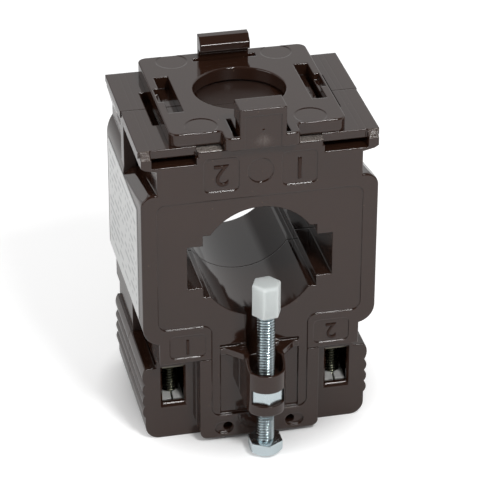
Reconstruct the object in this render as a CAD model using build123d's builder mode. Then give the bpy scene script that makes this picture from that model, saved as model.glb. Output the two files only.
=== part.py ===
from build123d import *
from math import cos, hypot, radians, sin, sqrt
import os

# Window-type current transformer, upside down as photographed: rail foot on top, terminals below.
# Millimetres, +Z up, -Y is the front with the clamp screw, -X is the side with the label.
# The origin lies on the axis of the bar window, in the parting plane of the two half shells.

os.makedirs("parts", exist_ok=True)

# Window for round conductors and two sizes of flat bar
bore_d = 27.0
wide_slot_w = 32.5
wide_slot_h = 10.5
tall_slot_w = 25.5
tall_slot_h = 15.5

# Wound ring core, its cushions and its leads
core_t = 3.0
sleeve_t = 0.3
winding_t = 0.5
tape_t = 0.15
cushion_t = 5.0
coil_clearance = 0.4
lead_d = 1.2
lead_angle = 42.0
lead_lean = 0.3
lead_inset = 1.4

# Housing
wall = 1.6
depth = 42.4
top_room = 2.2
coil_sink = 0.3
body_foot_h = 5.2
body_drop = 10.1
top_shoulder_r = 3.0
bottom_shoulder_r = 4.5
shoulder_slope_w = 1.9
shoulder_slope_h = 1.8
shoulder_fall = 3.8
rear_shoulder_h = 4.6
rear_shoulder_drop = 0.9
neck_post_inset = 0.25
neck_post_t = 3.3
edge_r = 0.4
clearance = 0.3

# Lengths without a place of their own: overlap of joined blocks, and how far a cutter passes a face
bond = 0.1
over = 1.0

# Pegs and sockets that join the half shells
peg_r = 1.0
peg_l = 4.0
peg_clearance = 0.05
peg_wall = 0.6

# Neck and wings that carry the rail foot
front_neck_inset = 3.6
rear_neck_inset = 1.4
front_wing_overhang = 0.2
rear_wing_overhang = 0.4
wing_edge_t = 1.5
lip_inset = 0.22
lip_h = 2.4
lip_drop = 2.0
lip_slope_w = 0.9
lip_slope_h = 1.1
flare_h = 4.7
wing_setback = 1.6
wing_rear_setback = 2.4
centre_top_w = 27.4
centre_drop = 0.6
slot_side_gap = 0.3
slot_margin = 2.25
sill_rise = 0.8
slot_depth = 6.0

# Terminal block with its finger grips
divider_t = 3.2
block_h = 18.6
block_inset = 0.9
block_recess = 4.2
grip_first = 4.2
grip_pitch = 2.9
grip_count = 4
grip_bulge = 0.6
block_corner_r = 3.2
stem_half_w = 13.6
stem_rise = 1.0
stem_corner_r = 1.6

# Shallow panel and marking boxes in the front face
panel_margin = 3.4
panel_top_margin = 2.6
panel_bottom_margin = 3.7
panel_stem_half_w = 10.9
panel_stem_rise = 5.8
panel_depth = 0.3
panel_corner_r = 2.0
pocket_half_w = 8.9
pocket_rise = 0.8
pocket_depth = 0.8
mark_depth = 0.25
mark_corner_r = 1.2
mark_disc_r = 2.9
mark_disc_rise = 3.6
top_mark_x = 8.6
top_mark_rise = 3.4
top_mark_w = 7.8
top_mark_h = 8.0
low_mark_x = 16.3
low_mark_drop = 1.0
low_mark_w = 8.1
low_mark_h = 5.8
seal_x = 8.1
seal_rise = 2.4
seal_pocket_w = 4.3
seal_pocket_h = 3.0
seal_depth = 0.6
seal_hole_d = 2.1
seal_hole_shift = -0.95

# Nut holder and clamp screw
screw_d = 4.0
thread_clearance = 0.08
screw_chamfer = 0.5
screw_stand_off = 5.9
screw_reach = 9.1
head_af = 7.0
head_h = 2.8
head_gap = 8.4
head_turn = 30.0
head_chamfer = 0.15
head_chamfer_angle = 50.0
nut_af = 7.0
nut_h = 3.2
nut_clearance = 0.15
holder_r = 4.4
holder_drop = 7.9
holder_h = 12.5
holder_wall = 0.6
rim_drop = 2.1
rim_slope_back = 1.0
rim_slope_front = 1.6
cup_depth = 4.5
nut_drop = 2.2
gusset_reach = 3.3
gusset_t = 1.5
groove_half_w = 3.1
groove_depth = 3.4
cap_af = 5.8
cap_h = 7.7
cap_crown = 2.5
cap_turn = 21.0
cap_chamfer = 0.35
cap_bore_clearance = 0.06

# Terminals
terminal_inset = 6.5
terminal_set_back = 5.7
opening_w = 5.0
opening_h = 9.9
opening_rise = 0.1
rim_side = 0.5
rim_bottom = 0.8
rim_depth = 0.6
chamber_w = 7.8
chamber_back = 0.9
terminal_screw_d = 4.0
terminal_screw_chamfer = 0.4
terminal_head_d = 6.2
terminal_head_h = 2.2
terminal_head_r = 0.6
terminal_slot_w = 0.9
terminal_slot_depth = 1.1
screw_access_d = 7.0
plate_w = 5.0
plate_t = 1.0
plate_slit = 0.45
plate_tail = 3.2
plate_lift = 1.0
plate_set_back = 1.8
plate_lip_l = 2.1
plate_lip_drop = 0.8
plate_lip_h = 2.6
plate_lip_t = 0.5
rib_count = 5
rib_pitch = 1.4
rib_depth = 0.4
strip_t = 1.6
strip_w = 7.4
strip_gap = 0.4
ledge_w = 0.6
ledge_l = 3.0

# Rail foot
rail_w = 35.0
rail_gap = 0.5
rail_lip_gap = 2.2
foot_margin = 1.8
foot_t = 3.0
foot_corner_r = 2.0
foot_edge_r = 0.3
foot_hole_d = 20.4
foot_slot_w = 3.3
foot_slot_l = 17.6
foot_slot_inset = 3.4
foot_notch_w = 1.2
foot_notch_l = 6.6
latch_t = 1.0
latch_hook = 1.2
latch_tip = 0.4
latch_hole_shift = 1.0
latch_hole_w = 4.0
latch_hole_half_l = 8.1
latch_hole_depth = 4.2
latch_ledge_t = 2.1
ejector_r = 3.5
ejector_inset_x = 7.3
ejector_inset_y = 3.1
ejector_depth = 0.12
rear_hook_half_w = 5.7
rear_hook_inset = 2.7
rear_hook_t = 1.5
rear_hook_reach = 1.9
rear_hook_h = 5.3
rear_hook_ramp = 1.5
rear_hook_nose = 0.3
root_slot_half_w = 7.2
root_slot_w = 1.6
front_hook_half_w = 5.1
front_hook_t = 4.6
front_hook_reach = 1.5
front_hook_h = 6.4
front_hook_chamfer = 0.6
front_hook_slot = 1.1
front_hook_slot_l = 4.6
front_tab_half_w = 8.2
front_tab_r = 1.2
front_tab_root_r = 0.9
hook_edge_r = 0.35
hook_rib_w = 1.1
recess_depth = 0.25

# Rating label
label_t = 0.15
label_front_margin = 4.8
label_rear_margin = 2.2
label_bottom_margin = 4.6
label_top_margin = 5.5

# Coil, from the window outwards
tube_r = max(bore_d / 2 + wall, hypot(wide_slot_w / 2 + wall, wide_slot_h / 2 + wall),
             hypot(tall_slot_w / 2 + wall, tall_slot_h / 2 + wall))
winding_inner_r = tube_r + coil_clearance
core_inner_r = winding_inner_r + winding_t + sleeve_t
core_outer_r = core_inner_r + core_t
winding_outer_r = core_outer_r + sleeve_t + winding_t
coil_outer_r = winding_outer_r + tape_t

# Depths, from the parting plane
front = -depth / 2
rear = depth / 2
inner_front = front + wall
block_face = front + block_recess
screw_y = front - screw_stand_off
groove_back = front + groove_depth
winding_half_h = rear - wall - cushion_t
coil_half_h = winding_half_h + tape_t
core_half_h = winding_half_h - winding_t - sleeve_t
terminal_y = block_face + terminal_set_back
strip_front = block_face + wall + strip_gap
strip_back = -chamber_back - clearance
lead_y = strip_back - lead_inset
plate_front = block_face + plate_set_back
plate_back = terminal_y + plate_tail

# Widths, from the middle
body_w = 2 * (coil_outer_r + coil_clearance + wall)
front_neck_w = body_w - 2 * front_neck_inset
rear_neck_w = body_w - 2 * rear_neck_inset
front_wing_w = body_w + 2 * front_wing_overhang
rear_wing_w = body_w + 2 * rear_wing_overhang
lip_w = body_w - 2 * lip_inset
slot_inner_x = centre_top_w / 2 + slot_side_gap
slot_outer_x = lip_w / 2 - slot_margin
block_half_w = body_w / 2 - block_inset
terminal_x = block_half_w - terminal_inset
panel_half_w = body_w / 2 - panel_margin

# Heights above the window
wing_top = coil_outer_r + coil_clearance + wall + top_room + centre_drop
centre_top = wing_top - centre_drop
wing_under = wing_top - wing_edge_t
lip_top = wing_top - lip_drop
lip_bottom = lip_top - lip_h
slot_sill = lip_bottom + sill_rise
body_top = wing_top - body_drop
foot_bottom = wing_top
foot_top = foot_bottom + foot_t
rear_shoulder_top = body_top - rear_shoulder_drop
rear_shoulder_z = rear_shoulder_top - rear_shoulder_h
rear_shoulder_r = (rear_shoulder_h ** 2 + rear_neck_inset ** 2) / (2 * rear_neck_inset)

# Heights below the window
neck_bottom = coil_sink - coil_outer_r
body_bottom = neck_bottom + body_foot_h
block_top = neck_bottom - divider_t
block_bottom = block_top - block_h
stem_bottom = block_bottom + stem_rise
panel_stem_bottom = stem_bottom + panel_stem_rise
groove_top = -bore_d / 2
holder_top = groove_top - holder_drop
holder_bottom = holder_top - holder_h
cup_floor = holder_top - cup_depth
nut_top = cup_floor - nut_drop
pocket_top = holder_top + pocket_rise
screw_tip = groove_top + screw_reach
cap_bottom = screw_tip + cap_crown - cap_h
opening_top = block_top + opening_rise
opening_bottom = opening_top - opening_h
plate_top = opening_bottom + plate_lift
plate_bottom = plate_top - plate_t
strip_bottom = opening_top - strip_t

# Rail foot, its hooks and its latches
foot_w = rail_w + 2 * foot_margin
foot_slot_x = foot_w / 2 - foot_slot_inset
latch_inner = foot_slot_x + foot_slot_w / 2
latch_hole_inner = foot_slot_x + latch_hole_shift
latch_hole_outer = latch_hole_inner + latch_hole_w
latch_room = latch_hole_outer + latch_hook + clearance
latch_bottom = wing_top - latch_hole_depth
rear_hook_y = foot_w / 2 - rear_hook_inset
front_hook_y = rear_hook_y - rail_w - rail_gap
front_hook_face = front_hook_y - front_hook_t

terminal_sides = {"left": -1, "right": 1}
mark_boxes = [(sign * top_mark_x, body_top + top_mark_rise, top_mark_w, top_mark_h) for sign in (-1, 1)]
mark_boxes += [(sign * low_mark_x, body_bottom - low_mark_drop, low_mark_w, low_mark_h) for sign in (-1, 1)]


def facing(y):
    """Plane square to Y at the given depth: its own x is X and its own y is Z, extrude goes to -Y."""
    return Plane(origin=(0, y, 0), x_dir=(1, 0, 0), z_dir=(0, -1, 0))


def block(x_range, y_range, z_range, mode=Mode.ADD):
    """Box between two values on each axis."""
    size = [high - low for low, high in (x_range, y_range, z_range)]
    centre = [(high + low) / 2 for low, high in (x_range, y_range, z_range)]
    with Locations(tuple(centre)):
        Box(*size, mode=mode)


def both_sides(x_near, x_far):
    """The same X range on the right and mirrored on the left."""
    return [(x_near, x_far), (-x_far, -x_near)]


def window_outline(grow=0.0, mode=Mode.ADD):
    """Round bore crossed by the two flat-bar slots, grown by a wall."""
    Circle(bore_d / 2 + grow, mode=mode)
    Rectangle(wide_slot_w + 2 * grow, wide_slot_h + 2 * grow, mode=mode)
    Rectangle(tall_slot_w + 2 * grow, tall_slot_h + 2 * grow, mode=mode)


def area(width, z_low, z_high, mode=Mode.ADD):
    """Rectangle centred on X between two heights, in a sketch on a facing plane."""
    with Locations((0, (z_low + z_high) / 2)):
        Rectangle(width, z_high - z_low, mode=mode)


def mirrored_face(corners):
    """Face in a sketch on a facing plane, from its right-hand corners and their mirror on the left."""
    left = [(-x, z) for x, z in reversed(corners)]
    Polygon(*corners, *left, align=None)


def body_outline(shoulder_z, shoulder_end, shoulder_r):
    """Main body seen from the front. Its upper shoulders are arcs from the sides to the given end."""
    half = body_w / 2
    with BuildLine() as outline:
        Polyline((0, body_bottom), (half - bottom_shoulder_r, body_bottom))
        RadiusArc((half - bottom_shoulder_r, body_bottom), (half, body_bottom + bottom_shoulder_r),
                  -bottom_shoulder_r)
        Line((half, body_bottom + bottom_shoulder_r), (half, shoulder_z))
        RadiusArc((half, shoulder_z), shoulder_end, -shoulder_r)
        Line(shoulder_end, (0, shoulder_end[1]))
        mirror(about=Plane.YZ)
    make_face(outline.edges())


def block_outline():
    """Terminal block seen from the front, with the bulging finger grips on its sides."""
    with BuildLine() as outline:
        Line((0, block_top), (block_half_w, block_top))
        z = block_top
        for index in range(grip_count):
            step = grip_first if index == 0 else grip_pitch
            ThreePointArc((block_half_w, z), (block_half_w + grip_bulge, z - step / 2),
                          (block_half_w, z - step))
            z -= step
        corner_z = block_bottom + block_corner_r
        Line((block_half_w, z), (block_half_w, corner_z))
        RadiusArc((block_half_w, corner_z), (block_half_w - block_corner_r, block_bottom), block_corner_r)
        Line((block_half_w - block_corner_r, block_bottom), (0, block_bottom))
        mirror(about=Plane.YZ)
    make_face(outline.edges())


def lip_outline():
    """Lip under the wings: its underside slopes up towards its outer edge."""
    outer = lip_w / 2
    mirrored_face([(front_neck_w / 2, lip_bottom), (outer - lip_slope_w, lip_bottom + lip_slope_h / 2),
                   (outer, lip_bottom + lip_slope_h), (outer, lip_top)])


def rear_neck_outline():
    """Neck of the rear shell, which flares out to the lip under the wings."""
    half = rear_neck_w / 2
    mirrored_face([(half, neck_bottom), (half, lip_bottom + lip_slope_h / 2 - flare_h),
                   (lip_w / 2, lip_bottom + lip_slope_h / 2), (lip_w / 2, lip_top)])


def stem_outline():
    """Stem below the window seen from the front, with rounded lower corners."""
    area(2 * stem_half_w, stem_bottom, neck_bottom)
    fillet(vertices().group_by(Axis.Y)[0], stem_corner_r)


def peg_places():
    """Solid corners outside the wound core, where the half shells are pinned together."""
    x = body_w / 2 - wall - peg_r - edge_r
    reach = coil_outer_r + coil_clearance + peg_wall + peg_r
    z = sqrt(reach ** 2 - x ** 2)
    return [(side * x, level * z) for side in (-1, 1) for level in (-1, 1)]


def coil_space(neck_w):
    """Hollow for the wound core, round the tube of the window, with solid corners for the pegs."""
    corner_z = max(z for x, z in peg_places()) + peg_r + wall
    Circle(coil_outer_r + coil_clearance)
    area(body_w, neck_bottom + wall, coil_outer_r + coil_clearance, mode=Mode.INTERSECT)
    area(neck_w - 2 * wall, corner_z, slot_sill - 2 * wall)
    area(neck_w - 2 * wall, neck_bottom + wall, -corner_z)
    area(centre_top_w - 2 * wall, neck_bottom + wall, centre_top - wall)
    window_outline(wall, mode=Mode.SUBTRACT)


def latch_openings(y_range):
    """Openings in the wings for the latches of the rail foot, with room for the hooks under a ledge."""
    for x_range in both_sides(latch_hole_inner, latch_hole_outer):
        block(x_range, y_range, (latch_bottom, wing_top), mode=Mode.SUBTRACT)
    for x_range in both_sides(latch_hole_inner, latch_room):
        block(x_range, y_range, (latch_bottom, wing_top - latch_ledge_t), mode=Mode.SUBTRACT)


def ring(inner, outer, y_low, y_high, mode=Mode.ADD):
    """Ring round the window's axis between two depths."""
    with BuildSketch(facing(y_high)) as profile:
        Circle(outer)
        Circle(inner, mode=Mode.SUBTRACT)
    extrude(profile.sketch, amount=y_high - y_low, mode=mode)


with BuildPart() as front_shell:
    with BuildSketch(facing(0)):
        body_outline(body_top - top_shoulder_r, (body_w / 2 - top_shoulder_r, body_top), top_shoulder_r)
        area(front_neck_w, neck_bottom, slot_sill)
        area(centre_top_w, neck_bottom, centre_top)
    extrude(amount=-front)
    fillet(faces().sort_by(Axis.Y)[0].edges(), edge_r)

    # The shoulders fall from the front towards the parting plane
    for sign in (-1, 1):
        slope_x = body_w / 2 - shoulder_slope_w
        for y, rise in ((0, 0), (front, shoulder_fall)):
            slope_z = body_top + bond - shoulder_fall + rise
            slope_end = slope_z - shoulder_slope_h * (1 + over / shoulder_slope_w)
            corners = [(body_w / 2 + over, slope_end), (slope_x, slope_z), (front_neck_w / 2, slope_z),
                       (front_neck_w / 2, body_top + over), (body_w / 2 + over, body_top + over)]
            with BuildSketch(facing(y)):
                Polygon(*[(sign * x, z) for x, z in corners], align=None)
        loft(ruled=True, mode=Mode.SUBTRACT)

    # Wings on their lip, with sloping front corners and slots under them
    with BuildSketch(facing(0)):
        lip_outline()
    extrude(amount=-front)
    wing_front = front + wing_setback
    for x_range in both_sides(centre_top_w / 2, front_wing_w / 2):
        block(x_range, (wing_front, 0), (wing_under, wing_top))
    for x_range in both_sides(centre_top_w / 2, lip_w / 2):
        block(x_range, (wing_front, 0), (slot_sill, wing_under))
    for sign in (-1, 1):
        with BuildSketch(Plane.YZ.offset(sign * slot_outer_x)):
            Polygon((front, lip_top - bond), (front, wing_under), (wing_front, wing_top),
                    (wing_front, lip_top - bond), align=None)
        extrude(amount=sign * (lip_w / 2 - slot_outer_x))
    for x_range in both_sides(slot_inner_x, slot_outer_x):
        block(x_range, (front, wing_front + slot_depth), (slot_sill, lip_top), mode=Mode.SUBTRACT)

    # Terminal block, set back behind the panel, and the stem in front of it
    with BuildSketch(facing(0)):
        block_outline()
        area(front_neck_w, block_top - wall, neck_bottom)
    extrude(amount=-block_face)
    with BuildSketch(facing(block_face)):
        stem_outline()
    extrude(amount=block_recess)

    # Hollow for the coil, and the hollow stem
    with BuildSketch(facing(0)):
        coil_space(front_neck_w)
    extrude(amount=-inner_front, mode=Mode.SUBTRACT)
    block((-front_neck_w / 2 + wall, front_neck_w / 2 - wall), (block_face + wall, 0),
          (-coil_outer_r - wall / 2, neck_bottom + wall), mode=Mode.SUBTRACT)
    block((-stem_half_w + wall, stem_half_w - wall), (inner_front, 0), (stem_bottom + wall, block_top - wall),
          mode=Mode.SUBTRACT)

    # Inner wall of the groove behind the clamp screw, and the window
    block((-groove_half_w - wall, groove_half_w + wall), (inner_front, groove_back + wall / 2),
          (cup_floor, groove_top - wall / 2))
    with BuildSketch(facing(0)):
        window_outline()
    extrude(amount=-front, mode=Mode.SUBTRACT)

    # Holder of the clamp nut, with gussets at its rim
    with BuildSketch(Plane.XY.offset(holder_bottom)):
        with Locations((0, screw_y)):
            Circle(holder_r)
        with Locations((0, (screw_y + front) / 2)):
            Rectangle(2 * holder_r, front - screw_y)
    extrude(amount=holder_h)
    gusset_half_w = holder_r + gusset_reach
    with BuildSketch(Plane.XY.offset(holder_top - gusset_t)):
        Polygon((-gusset_half_w, front), (-holder_r, front - gusset_reach), (holder_r, front - gusset_reach),
                (gusset_half_w, front), align=None)
    extrude(amount=gusset_t)

    # The rim drops towards the front
    with BuildSketch(Plane.YZ):
        rim_front = screw_y - holder_r - wall
        Polygon((screw_y + rim_slope_back, holder_top + wall), (screw_y + rim_slope_back, holder_top),
                (screw_y - rim_slope_front, holder_top - rim_drop), (rim_front, holder_top - rim_drop),
                (rim_front, holder_top + wall), align=None)
    extrude(amount=holder_r + wall, both=True, mode=Mode.SUBTRACT)

    # Cup that the cap can sink into, the groove behind it, the screw hole and the nut's seat
    with BuildSketch(Plane.XY.offset(cup_floor)):
        with Locations((0, screw_y)):
            Circle(holder_r - holder_wall)
        with Locations((0, (screw_y + groove_back) / 2)):
            Rectangle(2 * groove_half_w, groove_back - screw_y)
    extrude(amount=groove_top + wall / 2 - cup_floor, mode=Mode.SUBTRACT)
    with BuildSketch(Plane.XY.offset(holder_bottom)):
        with Locations((0, screw_y)):
            Circle(screw_d / 2 + thread_clearance)
    extrude(amount=cup_floor - holder_bottom, mode=Mode.SUBTRACT)
    nut_reach = nut_af / sqrt(3) + nut_clearance
    nut_half_w = nut_af / 2 + nut_clearance
    block((-nut_half_w, nut_half_w), (screw_y - holder_r - over, screw_y + nut_reach),
          (nut_top - nut_h - nut_clearance, nut_top + nut_clearance), mode=Mode.SUBTRACT)

    # Shallow panel, the pocket round the nut holder, and the marking boxes
    with BuildSketch(facing(front)):
        panel_top = body_top - panel_top_margin
        area(2 * panel_half_w, body_bottom + panel_bottom_margin, panel_top)
        area(2 * panel_stem_half_w, panel_stem_bottom, panel_top)
        fillet(vertices(), panel_corner_r)
        with Locations((0, (pocket_top + panel_stem_bottom) / 2)):
            Rectangle(2 * pocket_half_w, pocket_top - panel_stem_bottom, mode=Mode.SUBTRACT)
    extrude(amount=-panel_depth, mode=Mode.SUBTRACT)
    pocket_back = front + pocket_depth
    for x_range in both_sides(holder_r, pocket_half_w):
        for z_range in ((panel_stem_bottom, holder_top - gusset_t), (holder_top, pocket_top)):
            block(x_range, (front, pocket_back), z_range, mode=Mode.SUBTRACT)
    block((-holder_r, holder_r), (front, pocket_back), (panel_stem_bottom, holder_bottom), mode=Mode.SUBTRACT)
    with BuildSketch(facing(front)):
        for x_centre, z_centre, box_w, box_h in mark_boxes:
            with Locations((x_centre, z_centre)):
                RectangleRounded(box_w, box_h, mark_corner_r)
        with Locations((0, body_top + mark_disc_rise)):
            Circle(mark_disc_r)
    extrude(amount=-mark_depth, mode=Mode.SUBTRACT)

    # Openings and chambers of the two terminals, with a ledge under each contact strip
    for side in terminal_sides.values():
        x = side * terminal_x
        block((x - opening_w / 2, x + opening_w / 2), (block_face - over, block_face + wall + over),
              (opening_bottom, opening_top), mode=Mode.SUBTRACT)
        for y, side_step, bottom_step in ((block_face, rim_side, rim_bottom), (block_face + rim_depth, 0, 0)):
            with BuildSketch(facing(y)):
                with Locations((x, (opening_top + opening_bottom - bottom_step) / 2)):
                    Rectangle(opening_w + 2 * side_step, opening_h + bottom_step)
        loft(ruled=True, mode=Mode.SUBTRACT)
        block((x - chamber_w / 2, x + chamber_w / 2), (block_face + wall, -chamber_back),
              (block_bottom + wall, opening_top), mode=Mode.SUBTRACT)
        for edge in (-1, 1):
            near = x + edge * (chamber_w / 2 - ledge_w)
            far = x + edge * (chamber_w / 2 + wall / 2)
            block((min(near, far), max(near, far)), (strip_back - ledge_l, -chamber_back / 2),
                  (strip_bottom - ledge_l, strip_bottom))
        with BuildSketch(Plane.XY.offset(block_bottom - over)):
            with Locations((x, terminal_y)):
                Circle(screw_access_d / 2)
        extrude(amount=wall + 2 * over, mode=Mode.SUBTRACT)
        with BuildSketch(Plane.XY.offset(opening_top - over)):
            with Locations((x, terminal_y)):
                Circle(terminal_screw_d / 2 + clearance)
            with Locations((x, lead_y)):
                Circle(lead_d / 2 + clearance)
        extrude(amount=neck_bottom + wall - opening_top + 2 * over, mode=Mode.SUBTRACT)

    # Small sealing holes at the foot of the stem
    seal_z = stem_bottom + seal_rise
    with BuildSketch(facing(front)):
        with Locations(*[(sign * seal_x, seal_z) for sign in (-1, 1)]):
            SlotOverall(seal_pocket_w, seal_pocket_h)
    extrude(amount=-seal_depth, mode=Mode.SUBTRACT)
    with BuildSketch(facing(front)):
        with Locations(*[(sign * (seal_x + seal_hole_shift), seal_z) for sign in (-1, 1)]):
            Circle(seal_hole_d / 2)
    extrude(amount=-wall - over, mode=Mode.SUBTRACT)

    # Sockets for the pegs of the rear shell
    with BuildSketch(facing(0)):
        with Locations(*peg_places()):
            Circle(peg_r + peg_clearance)
    extrude(amount=peg_l + clearance, mode=Mode.SUBTRACT)

    latch_openings((-latch_hole_half_l, 0))
front_shell.part.label = "front_shell"
export_step(front_shell.part, "parts/front_shell.step")


with BuildPart() as rear_shell:
    with BuildSketch(facing(rear)):
        body_outline(rear_shoulder_z, (rear_neck_w / 2, rear_shoulder_top), rear_shoulder_r)
        rear_neck_outline()
        area(centre_top_w, body_top, centre_top)
    extrude(amount=rear)
    fillet(faces().sort_by(Axis.Y)[-1].edges(), edge_r)
    with BuildSketch(facing(-block_face)):
        block_outline()
        area(rear_neck_w, block_top - wall, neck_bottom)
    extrude(amount=-block_face)
    with BuildSketch(facing(rear)):
        stem_outline()
    extrude(amount=block_recess)
    for x_range in both_sides(rear_neck_w / 2 - bond, body_w / 2 - neck_post_inset):
        block(x_range, (0, neck_post_t), (rear_shoulder_z, lip_bottom + lip_slope_h))
    wing_rear = rear - wing_rear_setback
    for x_range in both_sides(centre_top_w / 2, rear_wing_w / 2):
        block(x_range, (0, wing_rear), (wing_under, wing_top))
    for x_range in both_sides(centre_top_w / 2, lip_w / 2):
        block(x_range, (0, wing_rear), (lip_top - bond, wing_under))

    # Hollow for the coil, the hollow block and stem, and the window
    with BuildSketch(facing(rear - wall)):
        coil_space(rear_neck_w)
    extrude(amount=rear - wall, mode=Mode.SUBTRACT)
    block((-rear_neck_w / 2 + wall, rear_neck_w / 2 - wall), (0, -block_face - wall),
          (-coil_outer_r - wall / 2, neck_bottom + wall), mode=Mode.SUBTRACT)
    block((-block_half_w + wall, block_half_w - wall), (0, -block_face - wall),
          (block_bottom + wall, block_top - wall), mode=Mode.SUBTRACT)
    block((-stem_half_w + wall, stem_half_w - wall), (0, rear - wall), (stem_bottom + wall, block_top - wall),
          mode=Mode.SUBTRACT)
    with BuildSketch(facing(rear)):
        window_outline()
    extrude(amount=rear, mode=Mode.SUBTRACT)

    # Pegs
    with BuildSketch(facing(bond)):
        with Locations(*peg_places()):
            Circle(peg_r)
    extrude(amount=peg_l + bond)
    latch_openings((0, latch_hole_half_l))
rear_shell.part.label = "rear_shell"
export_step(rear_shell.part, "parts/rear_shell.step")


with BuildPart() as rail_foot:
    with BuildSketch(Plane.XY.offset(foot_bottom)):
        RectangleRounded(foot_w, foot_w, foot_corner_r)
        tab_back = -foot_w / 2 + over
        with Locations((0, (front_hook_face + tab_back) / 2)):
            Rectangle(2 * front_tab_half_w, tab_back - front_hook_face)
        fillet(vertices().group_by(Axis.Y)[0], front_tab_r)
        roots = [v for v in vertices() if abs(v.Y + foot_w / 2) < bond and abs(v.X) < front_tab_half_w + bond]
        fillet(roots, front_tab_root_r)
        Circle(foot_hole_d / 2, mode=Mode.SUBTRACT)
    extrude(amount=foot_t)
    fillet(faces().sort_by(Axis.Z)[-1].edges(), foot_edge_r)

    # Long slots over the latches, each with a shallow notch towards the edge
    for sign in (-1, 1):
        slot_x = sign * foot_slot_x
        notch_x = sign * latch_inner
        block((slot_x - foot_slot_w / 2, slot_x + foot_slot_w / 2), (-foot_slot_l / 2, foot_slot_l / 2),
              (foot_bottom, foot_top), mode=Mode.SUBTRACT)
        block((notch_x - foot_notch_w, notch_x + foot_notch_w), (-foot_notch_l / 2, foot_notch_l / 2),
              (foot_top - foot_t / 2, foot_top), mode=Mode.SUBTRACT)

    # Ejector marks
    with BuildSketch(Plane.XY.offset(foot_top)):
        with GridLocations(foot_w - 2 * ejector_inset_x, foot_w - 2 * ejector_inset_y, 2, 2):
            Circle(ejector_r)
    extrude(amount=-ejector_depth, mode=Mode.SUBTRACT)

    # Slots that free the front hook as a spring tongue
    for x_range in both_sides(front_hook_half_w, front_hook_half_w + front_hook_slot):
        block(x_range, (front_hook_face + wall / 2, front_hook_y + front_hook_slot_l), (foot_bottom, foot_top),
              mode=Mode.SUBTRACT)

    # Rear hook, seen from the side
    with BuildSketch(Plane.YZ):
        hook_top = foot_top + rear_hook_h
        lip_y = rear_hook_y - rear_hook_reach
        Polygon((rear_hook_y, foot_top - over), (rear_hook_y, foot_top + rail_lip_gap),
                (lip_y, foot_top + rail_lip_gap), (lip_y, hook_top - rear_hook_ramp),
                (rear_hook_y - rear_hook_nose, hook_top), (rear_hook_y + rear_hook_t, hook_top),
                (rear_hook_y + rear_hook_t, foot_top - over), align=None)
    extrude(amount=rear_hook_half_w, both=True)
    block((-root_slot_half_w, root_slot_half_w), (rear_hook_y - root_slot_w, rear_hook_y),
          (foot_bottom, foot_top), mode=Mode.SUBTRACT)

    # Front hook: its inner face is one rail width from the rear hook
    with BuildSketch(Plane.YZ):
        hook_top = foot_top + front_hook_h
        lip_y = front_hook_y + front_hook_reach
        Polygon((front_hook_face, foot_bottom), (front_hook_face, hook_top),
                (lip_y - front_hook_chamfer, hook_top), (lip_y, hook_top - front_hook_chamfer),
                (lip_y, foot_top + rail_lip_gap), (front_hook_y, foot_top + rail_lip_gap),
                (front_hook_y, foot_bottom), align=None)
    extrude(amount=front_hook_half_w, both=True)
    hook_corners = [edge for edge in edges().filter_by(Axis.Z)
                    if edge.center().Z > foot_top and abs(edge.center().Y - front_hook_face) < bond]
    fillet(hook_corners, hook_edge_r)
    block((-front_hook_half_w + hook_rib_w, front_hook_half_w - hook_rib_w),
          (front_hook_face, front_hook_face + recess_depth), (foot_bottom, hook_top - wall), mode=Mode.SUBTRACT)

    # Latches that reach through the wings and hook under their ledges
    for sign in (-1, 1):
        with BuildSketch(facing(0)):
            hook_top_z = wing_top - latch_ledge_t - clearance / 2
            hook_bottom_z = latch_bottom + clearance
            stalk = latch_inner + latch_t
            tip = latch_hole_outer + latch_hook
            corners = [(latch_inner, foot_bottom + over), (latch_inner, hook_bottom_z), (stalk, hook_bottom_z),
                       (tip, hook_top_z - latch_tip), (tip, hook_top_z), (stalk, hook_top_z),
                       (stalk, foot_bottom + over)]
            Polygon(*[(sign * x, z) for x, z in corners], align=None)
        extrude(amount=latch_hole_half_l - clearance, both=True)
rail_foot.part.label = "rail_foot"
export_step(rail_foot.part, "parts/rail_foot.step")


with BuildPart() as clamp_screw:
    head_top = holder_bottom - head_gap
    with BuildSketch(Plane.XY.offset(head_top)):
        with Locations((0, screw_y)):
            RegularPolygon(head_af / 2, 6, major_radius=False, rotation=head_turn)
    extrude(amount=-head_h)
    # Turned chamfer on the outer end of the hexagon
    with BuildSketch(Plane.XY.offset(head_top - head_h)):
        with Locations((0, screw_y)):
            Circle(head_af / 2 - head_chamfer)
    extrude(amount=head_h, taper=-head_chamfer_angle, mode=Mode.INTERSECT)
    with BuildSketch(Plane.XY.offset(head_top - bond)):
        with Locations((0, screw_y)):
            Circle(screw_d / 2)
    extrude(amount=screw_tip - head_top + bond)
    chamfer(faces().sort_by(Axis.Z)[-1].edges(), screw_chamfer)
clamp_screw.part.label = "clamp_screw"
export_step(clamp_screw.part, "parts/clamp_screw.step")


with BuildPart() as clamp_nut:
    with BuildSketch(Plane.XY.offset(nut_top)):
        with Locations((0, screw_y)):
            RegularPolygon(nut_af / 2, 6, major_radius=False, rotation=head_turn)
            Circle(screw_d / 2 + thread_clearance, mode=Mode.SUBTRACT)
    extrude(amount=-nut_h)
clamp_nut.part.label = "clamp_nut"
export_step(clamp_nut.part, "parts/clamp_nut.step")


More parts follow.
